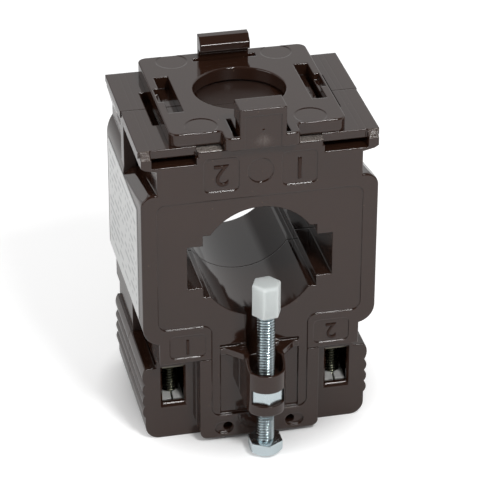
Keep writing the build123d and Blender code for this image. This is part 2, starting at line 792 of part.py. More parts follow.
with BuildPart() as clamp_cap:
    with BuildSketch(Plane.XY.offset(cap_bottom)):
        with Locations((0, screw_y)):
            RegularPolygon(cap_af / 2, 6, major_radius=False, rotation=cap_turn)
    extrude(amount=cap_h)
    chamfer(faces().sort_by(Axis.Z)[-1].edges(), cap_chamfer)
    with BuildSketch(Plane.XY.offset(cap_bottom)):
        with Locations((0, screw_y)):
            Circle(screw_d / 2 + cap_bore_clearance)
    extrude(amount=screw_tip + cap_bore_clearance - cap_bottom, mode=Mode.SUBTRACT)
clamp_cap.part.label = "clamp_cap"
export_step(clamp_cap.part, "parts/clamp_cap.step")


for name, side in terminal_sides.items():
    x = side * terminal_x
    with BuildPart() as terminal_strip:
        block((x - strip_w / 2, x + strip_w / 2), (strip_front, strip_back), (strip_bottom, opening_top))
        with BuildSketch(Plane.XY.offset(strip_bottom)):
            with Locations((x, terminal_y)):
                Circle(terminal_screw_d / 2 + thread_clearance)
        extrude(amount=strip_t, mode=Mode.SUBTRACT)
        # Ribs across the contact face grip the wire
        for index in range(rib_count):
            rib_y = terminal_y + (index - (rib_count - 1) / 2) * rib_pitch
            block((x - plate_w / 2, x + plate_w / 2), (rib_y - rib_pitch / 4, rib_y + rib_pitch / 4),
                  (strip_bottom, strip_bottom + rib_depth), mode=Mode.SUBTRACT)
    terminal_strip.part.label = "terminal_strip_" + name
    export_step(terminal_strip.part, "parts/terminal_strip_" + name + ".step")

    with BuildPart() as wire_plate:
        # Seen from the side: flat under the wire, with a sloping lip that is folded down at its front
        with BuildSketch(Plane.YZ.offset(x)):
            lip_low = plate_top - plate_lip_h
            Polygon((plate_back, plate_top), (plate_front + plate_lip_l, plate_top),
                    (plate_front, plate_top - plate_lip_drop), (plate_front, lip_low),
                    (plate_front + plate_lip_t, lip_low), (plate_front + plate_lip_t, plate_bottom),
                    (plate_back, plate_bottom), align=None)
        extrude(amount=plate_w / 2, both=True)
        with BuildSketch(Plane.XY.offset(plate_bottom)):
            with Locations((x, terminal_y)):
                Circle(terminal_screw_d / 2 + thread_clearance)
        extrude(amount=plate_t, mode=Mode.SUBTRACT)
        block((x - plate_slit / 2, x + plate_slit / 2), (plate_front, terminal_y - terminal_screw_d / 2),
              (lip_low, plate_top), mode=Mode.SUBTRACT)
    wire_plate.part.label = "wire_plate_" + name
    export_step(wire_plate.part, "parts/wire_plate_" + name + ".step")

    with BuildPart() as terminal_screw:
        head_bottom = plate_bottom - terminal_head_h
        with BuildSketch(Plane.XY.offset(head_bottom)):
            with Locations((x, terminal_y)):
                Circle(terminal_head_d / 2)
        extrude(amount=terminal_head_h)
        fillet(faces().sort_by(Axis.Z)[0].edges(), terminal_head_r)
        block((x - terminal_head_d, x + terminal_head_d),
              (terminal_y - terminal_slot_w / 2, terminal_y + terminal_slot_w / 2),
              (head_bottom, head_bottom + terminal_slot_depth), mode=Mode.SUBTRACT)
        with BuildSketch(Plane.XY.offset(plate_bottom - bond)):
            with Locations((x, terminal_y)):
                Circle(terminal_screw_d / 2)
        extrude(amount=opening_top - plate_bottom + bond)
        chamfer(faces().sort_by(Axis.Z)[-1].edges(), terminal_screw_chamfer)
    terminal_screw.part.label = "terminal_screw_" + name
    export_step(terminal_screw.part, "parts/terminal_screw_" + name + ".step")

    with BuildPart() as lead_wire:
        lead_r = coil_outer_r + lead_d / 2 + bond / 2
        coil_x = side * lead_r * sin(radians(lead_angle))
        coil_z = -lead_r * cos(radians(lead_angle))
        with BuildLine() as lead_path:
            Spline((coil_x, lead_y, coil_z), (x, lead_y, neck_bottom + wall / 2),
                   (x, lead_y, opening_top + bond / 2), tangents=[(side * lead_lean, 0, -1), (0, 0, -1)])
        with BuildSketch(Plane(origin=lead_path.line @ 0, z_dir=lead_path.line % 0)):
            Circle(lead_d / 2)
        sweep()
    lead_wire.part.label = "lead_wire_" + name
    export_step(lead_wire.part, "parts/lead_wire_" + name + ".step")


with BuildPart() as ring_core:
    ring(core_inner_r, core_outer_r, -core_half_h, core_half_h)
ring_core.part.label = "ring_core"
export_step(ring_core.part, "parts/ring_core.step")


with BuildPart() as core_sleeve:
    sleeve_half_h = core_half_h + sleeve_t
    ring(core_inner_r - sleeve_t, core_outer_r + sleeve_t, -sleeve_half_h, sleeve_half_h)
    ring(core_inner_r, core_outer_r, -core_half_h, core_half_h, mode=Mode.SUBTRACT)
core_sleeve.part.label = "core_sleeve"
export_step(core_sleeve.part, "parts/core_sleeve.step")


with BuildPart() as secondary_winding:
    ring(winding_inner_r, winding_outer_r, -winding_half_h, winding_half_h)
    ring(core_inner_r - sleeve_t, core_outer_r + sleeve_t, -sleeve_half_h, sleeve_half_h, mode=Mode.SUBTRACT)
secondary_winding.part.label = "secondary_winding"
export_step(secondary_winding.part, "parts/secondary_winding.step")


with BuildPart() as coil_tape:
    ring(winding_outer_r, coil_outer_r, -coil_half_h, coil_half_h)
coil_tape.part.label = "coil_tape"
export_step(coil_tape.part, "parts/coil_tape.step")


# Foam cushions hold the coil between the end walls, clear of the divider over the terminals
cushion_outer_r = -neck_bottom - wall - clearance
with BuildPart() as front_cushion:
    ring(winding_inner_r, cushion_outer_r, inner_front, -winding_half_h)
    notch_half_w = groove_half_w + wall + clearance
    block((-notch_half_w, notch_half_w), (inner_front, -winding_half_h), (-coil_outer_r, 0), mode=Mode.SUBTRACT)
front_cushion.part.label = "front_cushion"
export_step(front_cushion.part, "parts/front_cushion.step")


with BuildPart() as rear_cushion:
    ring(winding_inner_r, cushion_outer_r, winding_half_h, rear - wall)
rear_cushion.part.label = "rear_cushion"
export_step(rear_cushion.part, "parts/rear_cushion.step")


with BuildPart() as rating_label:
    block((-body_w / 2 - label_t, -body_w / 2), (front + label_front_margin, rear - label_rear_margin),
          (body_bottom + label_bottom_margin, body_top - label_top_margin))
rating_label.part.label = "rating_label"
export_step(rating_label.part, "parts/rating_label.step")
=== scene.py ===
# %% [markdown]
# A window-type current transformer, finished in Blender.
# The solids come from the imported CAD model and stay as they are. This lesson gives them their
# materials, rounds the nylon cap, cuts real threads on the screws, raises the numerals in the
# marking boxes and lights the object like a catalogue picture. It starts by loading the fixed
# frame.

# %% Load the frame
import math

import bmesh
import bpy
from mathutils import Euler, Matrix, Vector


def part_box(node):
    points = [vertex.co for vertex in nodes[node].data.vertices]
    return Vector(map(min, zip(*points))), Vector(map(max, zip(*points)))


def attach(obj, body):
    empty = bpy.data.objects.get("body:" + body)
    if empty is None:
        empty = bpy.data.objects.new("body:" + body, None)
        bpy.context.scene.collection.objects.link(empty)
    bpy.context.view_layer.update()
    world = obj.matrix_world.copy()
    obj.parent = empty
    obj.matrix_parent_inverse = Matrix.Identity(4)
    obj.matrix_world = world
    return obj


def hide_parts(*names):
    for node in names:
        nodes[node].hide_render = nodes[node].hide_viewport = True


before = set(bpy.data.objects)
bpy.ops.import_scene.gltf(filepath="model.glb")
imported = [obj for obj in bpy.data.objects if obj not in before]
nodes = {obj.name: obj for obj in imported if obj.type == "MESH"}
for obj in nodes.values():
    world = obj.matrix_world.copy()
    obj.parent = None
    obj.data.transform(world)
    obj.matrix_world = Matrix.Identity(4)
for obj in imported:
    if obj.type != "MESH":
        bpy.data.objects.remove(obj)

scene = bpy.context.scene
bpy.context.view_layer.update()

# %% [markdown]
# Everything in Blender is in metres, but a maker thinks of such a part in millimetres. So
# lengths are written in millimetres and become metres where they are multiplied by MM, apart
# from two whose names end in _M. The sizes that the scene needs are read from the frame's
# boxes, so they follow the CAD model. Only the front face of the housing is written here as a
# number, because the nut holder stands in front of it and the shell's box ends there.

# %% Sizes from the frame
MM = 0.001
SHELL_FACE = -21.2 * MM
wing_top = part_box("front_shell")[1].z
foot_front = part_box("rail_foot")[0].y
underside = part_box("rear_shell")[0].z
label_low, label_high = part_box("rating_label")


def upright_axis(node):
    """X and Y of the axis of an upright screw or cap."""
    low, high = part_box(node)
    return (low.x + high.x) / 2, (low.y + high.y) / 2


screw_axis = upright_axis("clamp_screw")
terminal_axis = upright_axis("terminal_screw_left")
print("clamp screw at", [round(v / MM, 2) for v in screw_axis], "mm")
print("left terminal screw at", [round(v / MM, 2) for v in terminal_axis], "mm")

# %% [markdown]
# The camera stands where the photographer's did: a long lens over half a metre away, a little
# to the left and well above. The shift moves the frame without turning the camera, which
# keeps the upright edges as they are.

# %% Camera
CAMERA_YAW = 12.647
CAMERA_PITCH = 29.174
CAMERA_ROLL = 0.075
CAMERA_DISTANCE = 563.06 * MM
LENS_MM = 185.33
SENSOR_MM = 36
SHIFT = (0.0067, -0.0561)
CLIP_M = (0.01, 20)


def place_camera():
    """Aim a long lens at the origin of the model."""
    data = bpy.data.cameras.new("catalogue_camera")
    data.lens = LENS_MM
    data.sensor_width = SENSOR_MM
    data.shift_x, data.shift_y = SHIFT
    data.clip_start, data.clip_end = CLIP_M
    camera = bpy.data.objects.new("catalogue_camera", data)
    scene.collection.objects.link(camera)
    yaw, pitch = math.radians(CAMERA_YAW), math.radians(CAMERA_PITCH)
    level = math.cos(pitch)
    forward = Vector((math.sin(yaw) * level, math.cos(yaw) * level, -math.sin(pitch)))
    camera.location = -forward * CAMERA_DISTANCE
    roll = Euler((0, 0, math.radians(CAMERA_ROLL))).to_matrix()
    turn = forward.to_track_quat("-Z", "Y").to_matrix() @ roll
    camera.rotation_euler = turn.to_euler()
    scene.camera = camera
    return camera


camera = place_camera()
print("camera at mm", [round(v / MM, 1) for v in camera.location])

# %% [markdown]
# A material is a small graph of nodes. Four helpers keep the graphs short: one turns the hex
# colour that a painter would write into the linear values that the renderer needs, one adds a
# node with its settings and links, one turns a written formula into Math nodes, and one starts
# a material from its plain facts. A formula is a tuple, such as ("ADD", a, ("MULTIPLY", b, 2)).

# %% Helpers for materials
def linear(hex_colour):
    """sRGB hex to linear RGBA."""
    channels = [int(hex_colour[i:i + 2], 16) / 255 for i in (1, 3, 5)]
    return [c / 12.92 if c <= 0.04045 else ((c + 0.055) / 1.055) ** 2.4 for c in channels] + [1.0]


def add(tree, kind, inputs=None, **settings):
    """Add a node, set its properties, then give each named input a value or a link."""
    node = tree.nodes.new(kind)
    for name, value in settings.items():
        setattr(node, name, value)
    for name, value in (inputs or {}).items():
        if isinstance(value, bpy.types.NodeSocket):
            tree.links.new(value, node.inputs[name])
        else:
            node.inputs[name].default_value = value
    return node


def formula(tree, terms):
    """Output of the Math nodes for a nested formula. A number or an output is its own result."""
    if not isinstance(terms, tuple):
        return terms
    inputs = {index: formula(tree, term) for index, term in enumerate(terms[1:])}
    return add(tree, "ShaderNodeMath", inputs, operation=terms[0]).outputs[0]


def start_material(name, colour, roughness, metallic=0.0, ior=1.5):
    """New material with one Principled shader, as material, tree, shader and coordinates."""
    material = bpy.data.materials.new(name)
    material.use_nodes = True
    tree = material.node_tree
    tree.nodes.clear()
    shader = add(tree, "ShaderNodeBsdfPrincipled", {"Base Color": linear(colour), "Metallic": metallic,
                                                    "Roughness": roughness, "IOR": ior})
    add(tree, "ShaderNodeOutputMaterial", {"Surface": shader.outputs[0]})
    place = add(tree, "ShaderNodeTexCoord").outputs["Object"]
    return material, tree, shader, place


print("mid grey in linear light:", [round(v, 4) for v in linear("#808080")[:3]])

# %% [markdown]
# The marks that a mould leaves have fixed places, so they are drawn by formulas on the object's
# own coordinates. They could be painted on a picture instead, but a picture needs an unwrapped
# mesh. A band is a soft line, and a patch is the place where several tests hold.

# %% Bands and patches
def band(tree, value, centre, half_width):
    """1 at the centre of a band and 0 outside it, with a smooth fall between."""
    away = formula(tree, ("ABSOLUTE", ("SUBTRACT", value, centre)))
    fall = add(tree, "ShaderNodeMapRange", {"Value": away, "From Min": 0.0, "From Max": half_width,
                                            "To Min": 1.0, "To Max": 0.0}, interpolation_type="SMOOTHSTEP")
    return fall.outputs[0]


def patch(tree, first, *others):
    """1 where every test holds and 0 elsewhere."""
    inside = formula(tree, first)
    for test in others:
        inside = formula(tree, ("MULTIPLY", inside, test))
    return inside


print("tops of the wings at", round(wing_top / MM, 2), "mm, face at", round(SHELL_FACE / MM, 2), "mm")

# %% [markdown]
# The two half shells meet in a rough hair line at mid-depth. Fine sink lines run along the
# wings over the walls below. The edge strips beside the front hook and the sloping fronts of
# the wings are left rough from spark erosion, and the rim of the well between the strips is
# matt. The grain of the eroded patches is painted pale grey: a painted sheen for the light
# that the rough grain scatters. The real hair line and the real grain of the erosion are finer
# than a pixel, so both are drawn about 0.3 mm wide to show at all.

# %% Marks of the housing's mould
PARTING_HALF_W = 0.17
PARTING_ROUGH = 0.75
PARTING_DENT = 0.3
SINK_LINES_X = (22.3, 23.7)
SINK_HALF_W = 0.22
SINK_DENT = 0.4
STRIP_X = (8.4, 13.8)
STRIP_BELOW_TOP = (0.3, 0.75)
STRIP_DEPTH = 4.0
FACET_X = 24.0
FACET_DEPTH = 1.7
FACET_BELOW_TOP = 1.6
FACET_SHARE = 0.3
ERODED_SHEEN_GREY = "#A49C95"
ERODED_ROUGH = 0.3
EROSION_GRAIN_MM = 0.3
WELL_BELOW_TOP = 0.6
WELL_HALF_W = 0.3
WELL_ROUGH = 0.4


def shell_marks(tree, place, colour, rough, normal):
    """Add the parting line, sink lines and eroded patches, with their painted sheen, to colour, roughness
    and normal.
    """
    x, y, z = add(tree, "ShaderNodeSeparateXYZ", {0: place}).outputs
    side = formula(tree, ("ABSOLUTE", x))
    sinks = [band(tree, side, line * MM, SINK_HALF_W * MM) for line in SINK_LINES_X]
    on_top = ("GREATER_THAN", z, wing_top - 0.1 * MM)
    seam = band(tree, y, 0.0, PARTING_HALF_W * MM)
    rough = formula(tree, ("ADD", rough, ("MULTIPLY", seam, PARTING_ROUGH)))
    sink_dents = ("MULTIPLY", ("MULTIPLY", ("ADD", *sinks), on_top), SINK_DENT)
    dents = formula(tree, ("ADD", sink_dents, ("MULTIPLY", seam, PARTING_DENT)))
    normal = add(tree, "ShaderNodeBump", {"Height": dents, "Normal": normal, "Strength": 0.6,
                                          "Distance": 0.1 * MM}, invert=True).outputs[0]
    strip = patch(tree,
                  ("GREATER_THAN", side, STRIP_X[0] * MM),
                  ("LESS_THAN", side, STRIP_X[1] * MM),
                  ("LESS_THAN", z, wing_top - STRIP_BELOW_TOP[0] * MM),
                  ("GREATER_THAN", z, wing_top - STRIP_BELOW_TOP[1] * MM),
                  ("LESS_THAN", y, SHELL_FACE + STRIP_DEPTH * MM))
    facet = patch(tree,
                  ("GREATER_THAN", side, FACET_X * MM),
                  ("LESS_THAN", y, SHELL_FACE + FACET_DEPTH * MM),
                  ("GREATER_THAN", z, wing_top - FACET_BELOW_TOP * MM))
    eroded = formula(tree, ("MAXIMUM", strip, ("MULTIPLY", facet, FACET_SHARE)))
    grain = add(tree, "ShaderNodeTexNoise", {"Vector": place, "Scale": 1 / (EROSION_GRAIN_MM * MM),
                                             "Detail": 2.0})
    speck = add(tree, "ShaderNodeMapRange", {"Value": grain.outputs["Fac"], "From Min": 0.35,
                                             "From Max": 0.65})
    pits_and_sheen = formula(tree, ("MULTIPLY", speck.outputs[0], eroded))
    normal = add(tree, "ShaderNodeBump", {"Height": pits_and_sheen, "Normal": normal, "Strength": 0.9,
                                          "Distance": 0.16 * MM}).outputs[0]
    rough = formula(tree, ("ADD", rough, ("MULTIPLY", eroded, ERODED_ROUGH)))
    rim = band(tree, z, wing_top - WELL_BELOW_TOP * MM, WELL_HALF_W * MM)
    well = ("MULTIPLY", ("LESS_THAN", side, STRIP_X[0] * MM), rim)
    rough = formula(tree, ("ADD", rough, ("MULTIPLY", well, WELL_ROUGH)))
    # Painted sheen: pale grey on the grain of the eroded patches, for the light that they scatter.
    pale = add(tree, "ShaderNodeMix", {"Factor": pits_and_sheen, 6: colour, 7: linear(ERODED_SHEEN_GREY)},
               data_type="RGBA")
    return pale.outputs[2], rough, normal


print("sink lines at", SINK_LINES_X, "mm on both wings")

# %% [markdown]
# The foot was filled through a gate in the middle of its front edge. The gate leaves a small
# nub, and the plastic that cooled first leaves a pale fan below it. Noise along the angle round
# the gate gives the rays of the fan.

# %% Mark of the foot's gate
GATE_X, GATE_Z = 0.1, 33.2
GATE_DEPTH = 0.4
NUB_RADIUS = 0.45
FAN_MIDDLE = 2.3
FAN_HALF_W = 1.9
FAN_HALF_ANGLE = 0.95
FLOW_GREY = "#5E544F"
FLOW_SHARE = 1.1
FLOW_ROUGH = 0.5


def gate_marks(tree, place, colour, rough, normal):
    """Add the gate and the fan of the first flow to colour, roughness and normal."""
    x, y, z = add(tree, "ShaderNodeSeparateXYZ", {0: place}).outputs
    beside = formula(tree, ("SUBTRACT", x, GATE_X * MM))
    below = formula(tree, ("SUBTRACT", z, GATE_Z * MM))
    squares = ("ADD", ("MULTIPLY", below, below), ("MULTIPLY", beside, beside))
    away = formula(tree, ("SQRT", squares))
    front = formula(tree, ("LESS_THAN", y, foot_front + GATE_DEPTH * MM))
    turn = formula(tree, ("ARCTAN2", beside, ("MULTIPLY", below, -1.0)))
    rays = add(tree, "ShaderNodeTexNoise", {"W": turn, "Scale": 4.0, "Detail": 2.0},
               noise_dimensions="1D")
    ring = band(tree, away, FAN_MIDDLE * MM, FAN_HALF_W * MM)
    spread = ("MULTIPLY", ring, band(tree, turn, 0.0, FAN_HALF_ANGLE))
    fan = formula(tree, ("MULTIPLY", ("MULTIPLY", rays.outputs["Fac"], spread), front))
    nub = formula(tree, ("MULTIPLY", band(tree, away, 0.0, NUB_RADIUS * MM), front))
    normal = add(tree, "ShaderNodeBump", {"Height": nub, "Normal": normal, "Strength": 0.8,
                                          "Distance": 0.25 * MM}).outputs[0]
    rough = formula(tree, ("ADD", rough, ("MULTIPLY", fan, FLOW_ROUGH)))
    share = formula(tree, ("MULTIPLY", fan, FLOW_SHARE))
    pale = add(tree, "ShaderNodeMix", {"Factor": share, 6: colour, 7: linear(FLOW_GREY)},
               data_type="RGBA")
    return pale.outputs[2], rough, normal


print("gate at", (GATE_X, GATE_Z), "mm")

# %% [markdown]
# The housing is a glossy dark brown blend of polycarbonate and ABS, injection moulded. Nearly
# all the light that it gives back is reflection from its polished skin, so its own colour is
# almost black, and the grey of its faces is the studio. Its skin is slightly wavy with a few
# specks of dust, and its edges are rounded as the mould's corners are. The rounding is made in
# the shader, because the solids stay as they are. The numerals come out of an etched part of
# the mould and shine less.

# %% Moulded plastic
HOUSING_BROWN = "#281912"
HOUSING_BROWN_WARM = "#301D15"
HOUSING_IOR = 1.57
POLISHED = (0.06, 0.11)
FULL_GLOSS = 0.5
NUMERAL_GLOSS = 0.22
EDGE_RADIUS = 0.42
EDGE_SAMPLES = 14
SKIN_WAVE_MM = 2.2
FLOW_CLOUD_MM = 14
DUST_SPACING_MM = 2.6
DUST_SIZE = 0.035
DUST_SHARE = 0.35
DUST_COLOUR = "#9A8A70"


def moulded_plastic(name, marks=None, gloss=FULL_GLOSS):
    """Dark brown polycarbonate blend, glossy from a polished mould, with its mould's marks."""
    material, tree, shader, place = start_material(name, HOUSING_BROWN, POLISHED[1], ior=HOUSING_IOR)
    skin = add(tree, "ShaderNodeTexNoise", {"Vector": place, "Scale": 1 / (SKIN_WAVE_MM * MM),
                                            "Detail": 2.0})
    flow = add(tree, "ShaderNodeTexNoise", {"Vector": place, "Scale": 1 / (FLOW_CLOUD_MM * MM),
                                            "Detail": 3.0})
    specks = add(tree, "ShaderNodeTexVoronoi", {"Vector": place, "Scale": 1 / (DUST_SPACING_MM * MM)})
    is_dust = ("LESS_THAN", specks.outputs["Distance"], DUST_SIZE)
    dust = formula(tree, ("MULTIPLY", is_dust, DUST_SHARE))
    warm = add(tree, "ShaderNodeMix", {"Factor": flow.outputs["Fac"], 6: linear(HOUSING_BROWN),
                                       7: linear(HOUSING_BROWN_WARM)}, data_type="RGBA")
    colour = add(tree, "ShaderNodeMix", {"Factor": dust, 6: warm.outputs[2],
                                         7: linear(DUST_COLOUR)}, data_type="RGBA").outputs[2]
    rough = add(tree, "ShaderNodeMapRange", {"Value": flow.outputs["Fac"], "From Min": 0.3,
                                             "From Max": 0.7, "To Min": POLISHED[0],
                                             "To Max": POLISHED[1]}).outputs[0]
    edges = add(tree, "ShaderNodeBevel", {"Radius": EDGE_RADIUS * MM}, samples=EDGE_SAMPLES)
    normal = add(tree, "ShaderNodeBump", {"Height": skin.outputs["Fac"], "Normal": edges.outputs[0],
                                          "Strength": 0.06, "Distance": 0.05 * MM}).outputs[0]
    if marks:
        colour, rough, normal = marks(tree, place, colour, rough, normal)
    shader.inputs["Specular IOR Level"].default_value = gloss
    tree.links.new(colour, shader.inputs["Base Color"])
    tree.links.new(rough, shader.inputs["Roughness"])
    tree.links.new(normal, shader.inputs["Normal"])
    return material


housing_plastic = moulded_plastic("moulded_pc_abs_housing", shell_marks)
foot_plastic = moulded_plastic("moulded_pc_abs_foot", gate_marks)
numeral_plastic = moulded_plastic("moulded_pc_abs_numeral", gloss=NUMERAL_GLOSS)
print("plastics:", housing_plastic.name, foot_plastic.name, numeral_plastic.name)

# %% [markdown]
# Screws and nut are steel with bright zinc or nickel plating, the contact strips and the wire
# plates are tinned, and the coil has a core of silicon steel and a winding of copper wire. A
# metal has no colour of its own under the reflection: its base colour is the tint of the
# reflection. Plating fills the finest scratches, which leaves a soft sheen with slight clouds.
# The roots of a thread are painted dark grey: painted shade for the hollows between the flanks.
# The screws are upright, so the distance from the axis tells root from crest. The two terminal
# screws share one material, and X without its sign gives both the same axis.

# %% Metals
ROOT_SHADE_GREY = "#30363A"
ROOT_RADIUS = 1.58
CREST_RADIUS = 1.8
PLATING_GRAIN_MM = 0.12


def plated_metal(name, colour, low_rough, high_rough, cloud_mm, edge_radius=0.08, thread_axis=None,
                 is_pair=False):
    """Plated metal with clouded roughness and painted shade in the roots of a thread on the given axis."""
    material, tree, shader, place = start_material(name, colour, low_rough, metallic=1.0)
    cloud = add(tree, "ShaderNodeTexNoise", {"Vector": place, "Scale": 1 / (cloud_mm * MM),
                                             "Detail": 4.0})
    rough = add(tree, "ShaderNodeMapRange", {"Value": cloud.outputs["Fac"], "From Min": 0.35,
                                             "From Max": 0.65, "To Min": low_rough,
                                             "To Max": high_rough})
    tree.links.new(rough.outputs[0], shader.inputs["Roughness"])
    grain = add(tree, "ShaderNodeTexNoise", {"Vector": place, "Scale": 1 / (PLATING_GRAIN_MM * MM),
                                             "Detail": 2.0})
    edges = add(tree, "ShaderNodeBevel", {"Radius": edge_radius * MM}, samples=EDGE_SAMPLES)
    bump = add(tree, "ShaderNodeBump", {"Height": grain.outputs["Fac"], "Normal": edges.outputs[0],
                                        "Strength": 0.05, "Distance": 0.02 * MM})
    tree.links.new(bump.outputs[0], shader.inputs["Normal"])
    if thread_axis:
        axes = add(tree, "ShaderNodeSeparateXYZ", {0: place}).outputs
        sideways = ("ABSOLUTE", axes["X"]) if is_pair else axes["X"]
        beside = formula(tree, ("SUBTRACT", sideways, thread_axis[0]))
        ahead = formula(tree, ("SUBTRACT", axes["Y"], thread_axis[1]))
        squares = ("ADD", ("MULTIPLY", beside, beside), ("MULTIPLY", ahead, ahead))
        crest = add(tree, "ShaderNodeMapRange", {"Value": formula(tree, ("SQRT", squares)),
                                                 "From Min": ROOT_RADIUS * MM,
                                                 "From Max": CREST_RADIUS * MM})
        # Painted shade: the roots of the thread are painted dark grey, and the crests keep the plating's
        # colour.
        shade = add(tree, "ShaderNodeMix", {"Factor": crest.outputs[0], 6: linear(ROOT_SHADE_GREY),
                                            7: linear(colour)}, data_type="RGBA")
        tree.links.new(shade.outputs[2], shader.inputs["Base Color"])
    return material


zinc_plate = plated_metal("zinc_plated_steel", "#D2DEE2", 0.16, 0.28, 1.4, edge_radius=0.05,
                          thread_axis=screw_axis)
tin_plate = plated_metal("dull_tinned_steel", "#E2E2E0", 0.5, 0.7, 0.5)
strip_tin = plated_metal("tinned_brass", "#77746A", 0.4, 0.55, 0.9)
# The terminal screws get a dark olive tint far below bright nickel: the olive is their own tint, and the
# darkness is painted shade for the dim terminal openings.
nickel_with_painted_shade = plated_metal("nickel_plated_screw", "#6A6A5C", 0.16, 0.28, 0.7, edge_radius=0.03,
                            thread_axis=(abs(terminal_axis[0]), terminal_axis[1]), is_pair=True)
core_steel = plated_metal("wound_silicon_steel", "#8A9097", 0.3, 0.45, 0.5)
enamelled_copper = plated_metal("enamelled_copper", "#9C4A22", 0.25, 0.35, 0.6)
print("metals:", zinc_plate.name, tin_plate.name, nickel_with_painted_shade.name)

# %% [markdown]
# The cap on the clamp screw is natural nylon, moulded in a plain steel mould. Light goes in and
# comes out again a few millimetres away, which makes it milky and soft at its edges. That is
# subsurface scattering: its scale is how far the light travels.

# %% Nylon
NYLON_WHITE = "#C6CBCA"
NYLON_IOR = 1.53
NYLON_GLOSS = 0.35
NYLON_ROUGH = 0.62
NYLON_EDGE_RADIUS = 0.9
LIGHT_PATH_MM = 2.4


def nylon():
    """Natural polyamide, milky with a satin skin."""
    material, tree, shader, place = start_material("natural_nylon", NYLON_WHITE, NYLON_ROUGH,
                                                   ior=NYLON_IOR)
    shader.inputs["Specular IOR Level"].default_value = NYLON_GLOSS
    shader.inputs["Subsurface Weight"].default_value = 1.0
    shader.inputs["Subsurface Radius"].default_value = (1.0, 1.0, 1.0)
    shader.inputs["Subsurface Scale"].default_value = LIGHT_PATH_MM * MM
    skin = add(tree, "ShaderNodeTexNoise", {"Vector": place, "Scale": 1 / (0.6 * MM), "Detail": 3.0})
    edges = add(tree, "ShaderNodeBevel", {"Radius": NYLON_EDGE_RADIUS * MM}, samples=EDGE_SAMPLES)
    bump = add(tree, "ShaderNodeBump", {"Height": skin.outputs["Fac"], "Normal": edges.outputs[0],
                                        "Strength": 0.1, "Distance": 0.05 * MM})
    tree.links.new(bump.outputs[0], shader.inputs["Normal"])
    return material


white_nylon = nylon()
print("cap material:", white_nylon.name)

# %% [markdown]
# Polyester tape, polyester film and closed-cell foam insulate and cushion the coil inside the
# housing. They are thin sheets with a fine grain and need no more than that.

# %% Insulation
def soft_sheet(name, colour, roughness, grain_mm):
    """Plain film, tape or foam with a fine grain."""
    material, tree, shader, place = start_material(name, colour, roughness)
    grain = add(tree, "ShaderNodeTexNoise", {"Vector": place, "Scale": 1 / (grain_mm * MM),
                                             "Detail": 3.0})
    bump = add(tree, "ShaderNodeBump", {"Height": grain.outputs["Fac"], "Strength": 0.3,
                                        "Distance": grain_mm * 0.2 * MM})
    tree.links.new(bump.outputs[0], shader.inputs["Normal"])
    return material


amber_tape = soft_sheet("polyester_coil_tape", "#B98A33", 0.3, 0.8)
sleeve_film = soft_sheet("polyester_sleeve_film", "#C9BD96", 0.35, 0.6)
cell_foam = soft_sheet("closed_cell_foam", "#26272A", 0.8, 0.7)
print("soft materials:", amber_tape.name, sleeve_film.name, cell_foam.name)

# %% [markdown]
# The rating label is a white polyester film with a satin surface. Rows of short grey bars fill
# it as a table of ratings does, without saying anything. A picture could carry them, but here
# they are formulas on the label's own Y and Z: rows and cells are counted in real millimetres,
# and white noise decides which cell has ink.

# %% Label film
LABEL_WHITE = "#DADBDA"
LABEL_INK = "#5C6064"
LABEL_ROUGH = 0.32
LABEL_MARGIN_MM = 1.6
LABEL_ROW_MM = 2.0
LABEL_CELL_MM = 1.15
BLANK_SHARE = 0.42
ROW_GAP = 0.62
INK_STRENGTH = 0.4


def label_film():
    """White printed film with generic rows of bars."""
    material, tree, shader, place = start_material("label_film", LABEL_WHITE, LABEL_ROUGH)
    axes = add(tree, "ShaderNodeSeparateXYZ", {0: place}).outputs
    row = formula(tree, ("DIVIDE", axes["Z"], LABEL_ROW_MM * MM))
    cell = formula(tree, ("DIVIDE", axes["Y"], LABEL_CELL_MM * MM))
    key = add(tree, "ShaderNodeCombineXYZ", {0: formula(tree, ("FLOOR", cell)),
                                             1: formula(tree, ("FLOOR", row))})
    chance = add(tree, "ShaderNodeTexWhiteNoise", {"Vector": key.outputs[0]}, noise_dimensions="3D")
    middle = band(tree, formula(tree, ("FRACT", row)), 0.5, 0.5)
    between_rows = ("LESS_THAN", middle, ROW_GAP)
    tests = [("GREATER_THAN", chance.outputs["Value"], BLANK_SHARE), ("SUBTRACT", 1.0, between_rows)]
    for axis, low, high in (("Y", label_low.y, label_high.y), ("Z", label_low.z, label_high.z)):
        tests.append(("GREATER_THAN", axes[axis], low + LABEL_MARGIN_MM * MM))
        tests.append(("LESS_THAN", axes[axis], high - LABEL_MARGIN_MM * MM))
    ink = formula(tree, ("MULTIPLY", patch(tree, *tests), INK_STRENGTH))
    printed = add(tree, "ShaderNodeMix", {"Factor": ink, 6: linear(LABEL_WHITE),
                                          7: linear(LABEL_INK)}, data_type="RGBA")
    tree.links.new(printed.outputs[2], shader.inputs["Base Color"])
    return material


label_white = label_film()
print("label mm:", [round(v / MM, 1) for v in (label_high - label_low)])

# %% [markdown]
# Each CAD node takes the material of its real stuff. A node keeps its mesh: only the material
# slots change.

# %% Dress the CAD nodes
FINISHES = {
    "front_shell": housing_plastic, "rear_shell": housing_plastic, "rail_foot": foot_plastic,
    "clamp_screw": zinc_plate, "clamp_nut": zinc_plate, "clamp_cap": white_nylon,
    "ring_core": core_steel, "core_sleeve": sleeve_film, "secondary_winding": enamelled_copper,
    "coil_tape": amber_tape, "rating_label": label_white,
    "front_cushion": cell_foam, "rear_cushion": cell_foam,
}
for side in ("left", "right"):
    FINISHES["terminal_strip_" + side] = strip_tin
    FINISHES["wire_plate_" + side] = tin_plate
    FINISHES["terminal_screw_" + side] = nickel_with_painted_shade
    FINISHES["lead_wire_" + side] = enamelled_copper


def dress(piece, material):
    """Give a mesh one material."""
    piece.data.materials.clear()
    piece.data.materials.append(material)


